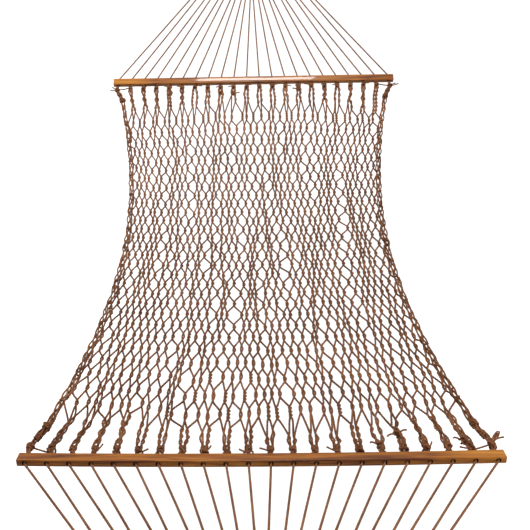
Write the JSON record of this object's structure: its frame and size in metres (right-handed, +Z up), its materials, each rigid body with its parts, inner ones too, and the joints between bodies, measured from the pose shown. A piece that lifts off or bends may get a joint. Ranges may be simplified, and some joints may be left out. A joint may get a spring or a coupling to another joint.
{
  "type": "rope hammock",
  "caption": "Woven brown rope hammock bed held open by two varnished oak spreader bars, hung at each end from a fan of cords, a steel ring and a hook plate.",
  "frame": {"origin": "midway between the two spreader bars, at the lowest point of the empty, sagging bed", "axes": "+X along the bars, +Y from the foot end towards the head end, +Z up"},
  "size_m": [1.397, 3.9556, 0.6422],
  "materials": {
    "oak": "honey-orange clear varnish over straight oak grain, semi-gloss",
    "rope": "three-strand twisted brown rope, matt",
    "net_rope": "soft twisted brown rope, matt",
    "weft": "thin tight brown cord, matt",
    "zinc": "zinc-plated steel, satin"
  },
  "bodies": {
    "anchors": {"foot_hook_plate": "zinc", "head_hook_plate": "zinc"},
    "bed": {"rope_net": "net_rope", "left_edge_rope": "net_rope", "right_edge_rope": "net_rope"},
    "foot_end": {"foot_ring": "zinc", "foot_clew_weft": "weft", "foot_clew_cord_01": "rope", "foot_clew_cord_02": "rope", "foot_clew_cord_03": "rope", "foot_clew_cord_04": "rope", "foot_clew_cord_05": "rope", "foot_clew_cord_06": "rope", "foot_clew_cord_07": "rope", "foot_clew_cord_08": "rope", "foot_clew_cord_09": "rope", "foot_clew_cord_10": "rope", "foot_clew_cord_11": "rope"},
    "head_end": {"head_ring": "zinc", "head_clew_weft": "weft", "head_clew_cord_01": "rope", "head_clew_cord_02": "rope", "head_clew_cord_03": "rope", "head_clew_cord_04": "rope", "head_clew_cord_05": "rope", "head_clew_cord_06": "rope", "head_clew_cord_07": "rope", "head_clew_cord_08": "rope", "head_clew_cord_09": "rope", "head_clew_cord_10": "rope", "head_clew_cord_11": "rope"},
    "foot_bar": {"foot_spreader_bar": "oak"},
    "head_bar": {"head_spreader_bar": "oak"}
  },
  "joints": [
    {"name": "swing", "type": "hinge", "parent": "anchors", "child": "bed", "pos_m": [0, 0, 0.57307], "axis": [0, 1, 0], "range_deg": [-35, 35]},
    {"name": "foot_roll", "type": "hinge", "parent": "bed", "child": "foot_end", "pos_m": [0, -1.92181, 0.57307], "axis": [0, 1, 0], "range_deg": [-12, 12], "stiffness_Nm_per_rad": 6},
    {"name": "head_roll", "type": "hinge", "parent": "bed", "child": "head_end", "pos_m": [0, 1.92181, 0.57307], "axis": [0, 1, 0], "range_deg": [-12, 12], "stiffness_Nm_per_rad": 6},
    {"name": "foot_bar_tip", "type": "hinge", "parent": "foot_end", "child": "foot_bar", "pos_m": [0, -1.0461, 0.12648], "axis": [1, 0, 0], "range_deg": [-4, 4], "stiffness_Nm_per_rad": 0.6},
    {"name": "head_bar_tip", "type": "hinge", "parent": "head_end", "child": "head_bar", "pos_m": [0, 1.0415, 0.12453], "axis": [1, 0, 0], "range_deg": [-4, 4], "stiffness_Nm_per_rad": 0.6}
  ]
}
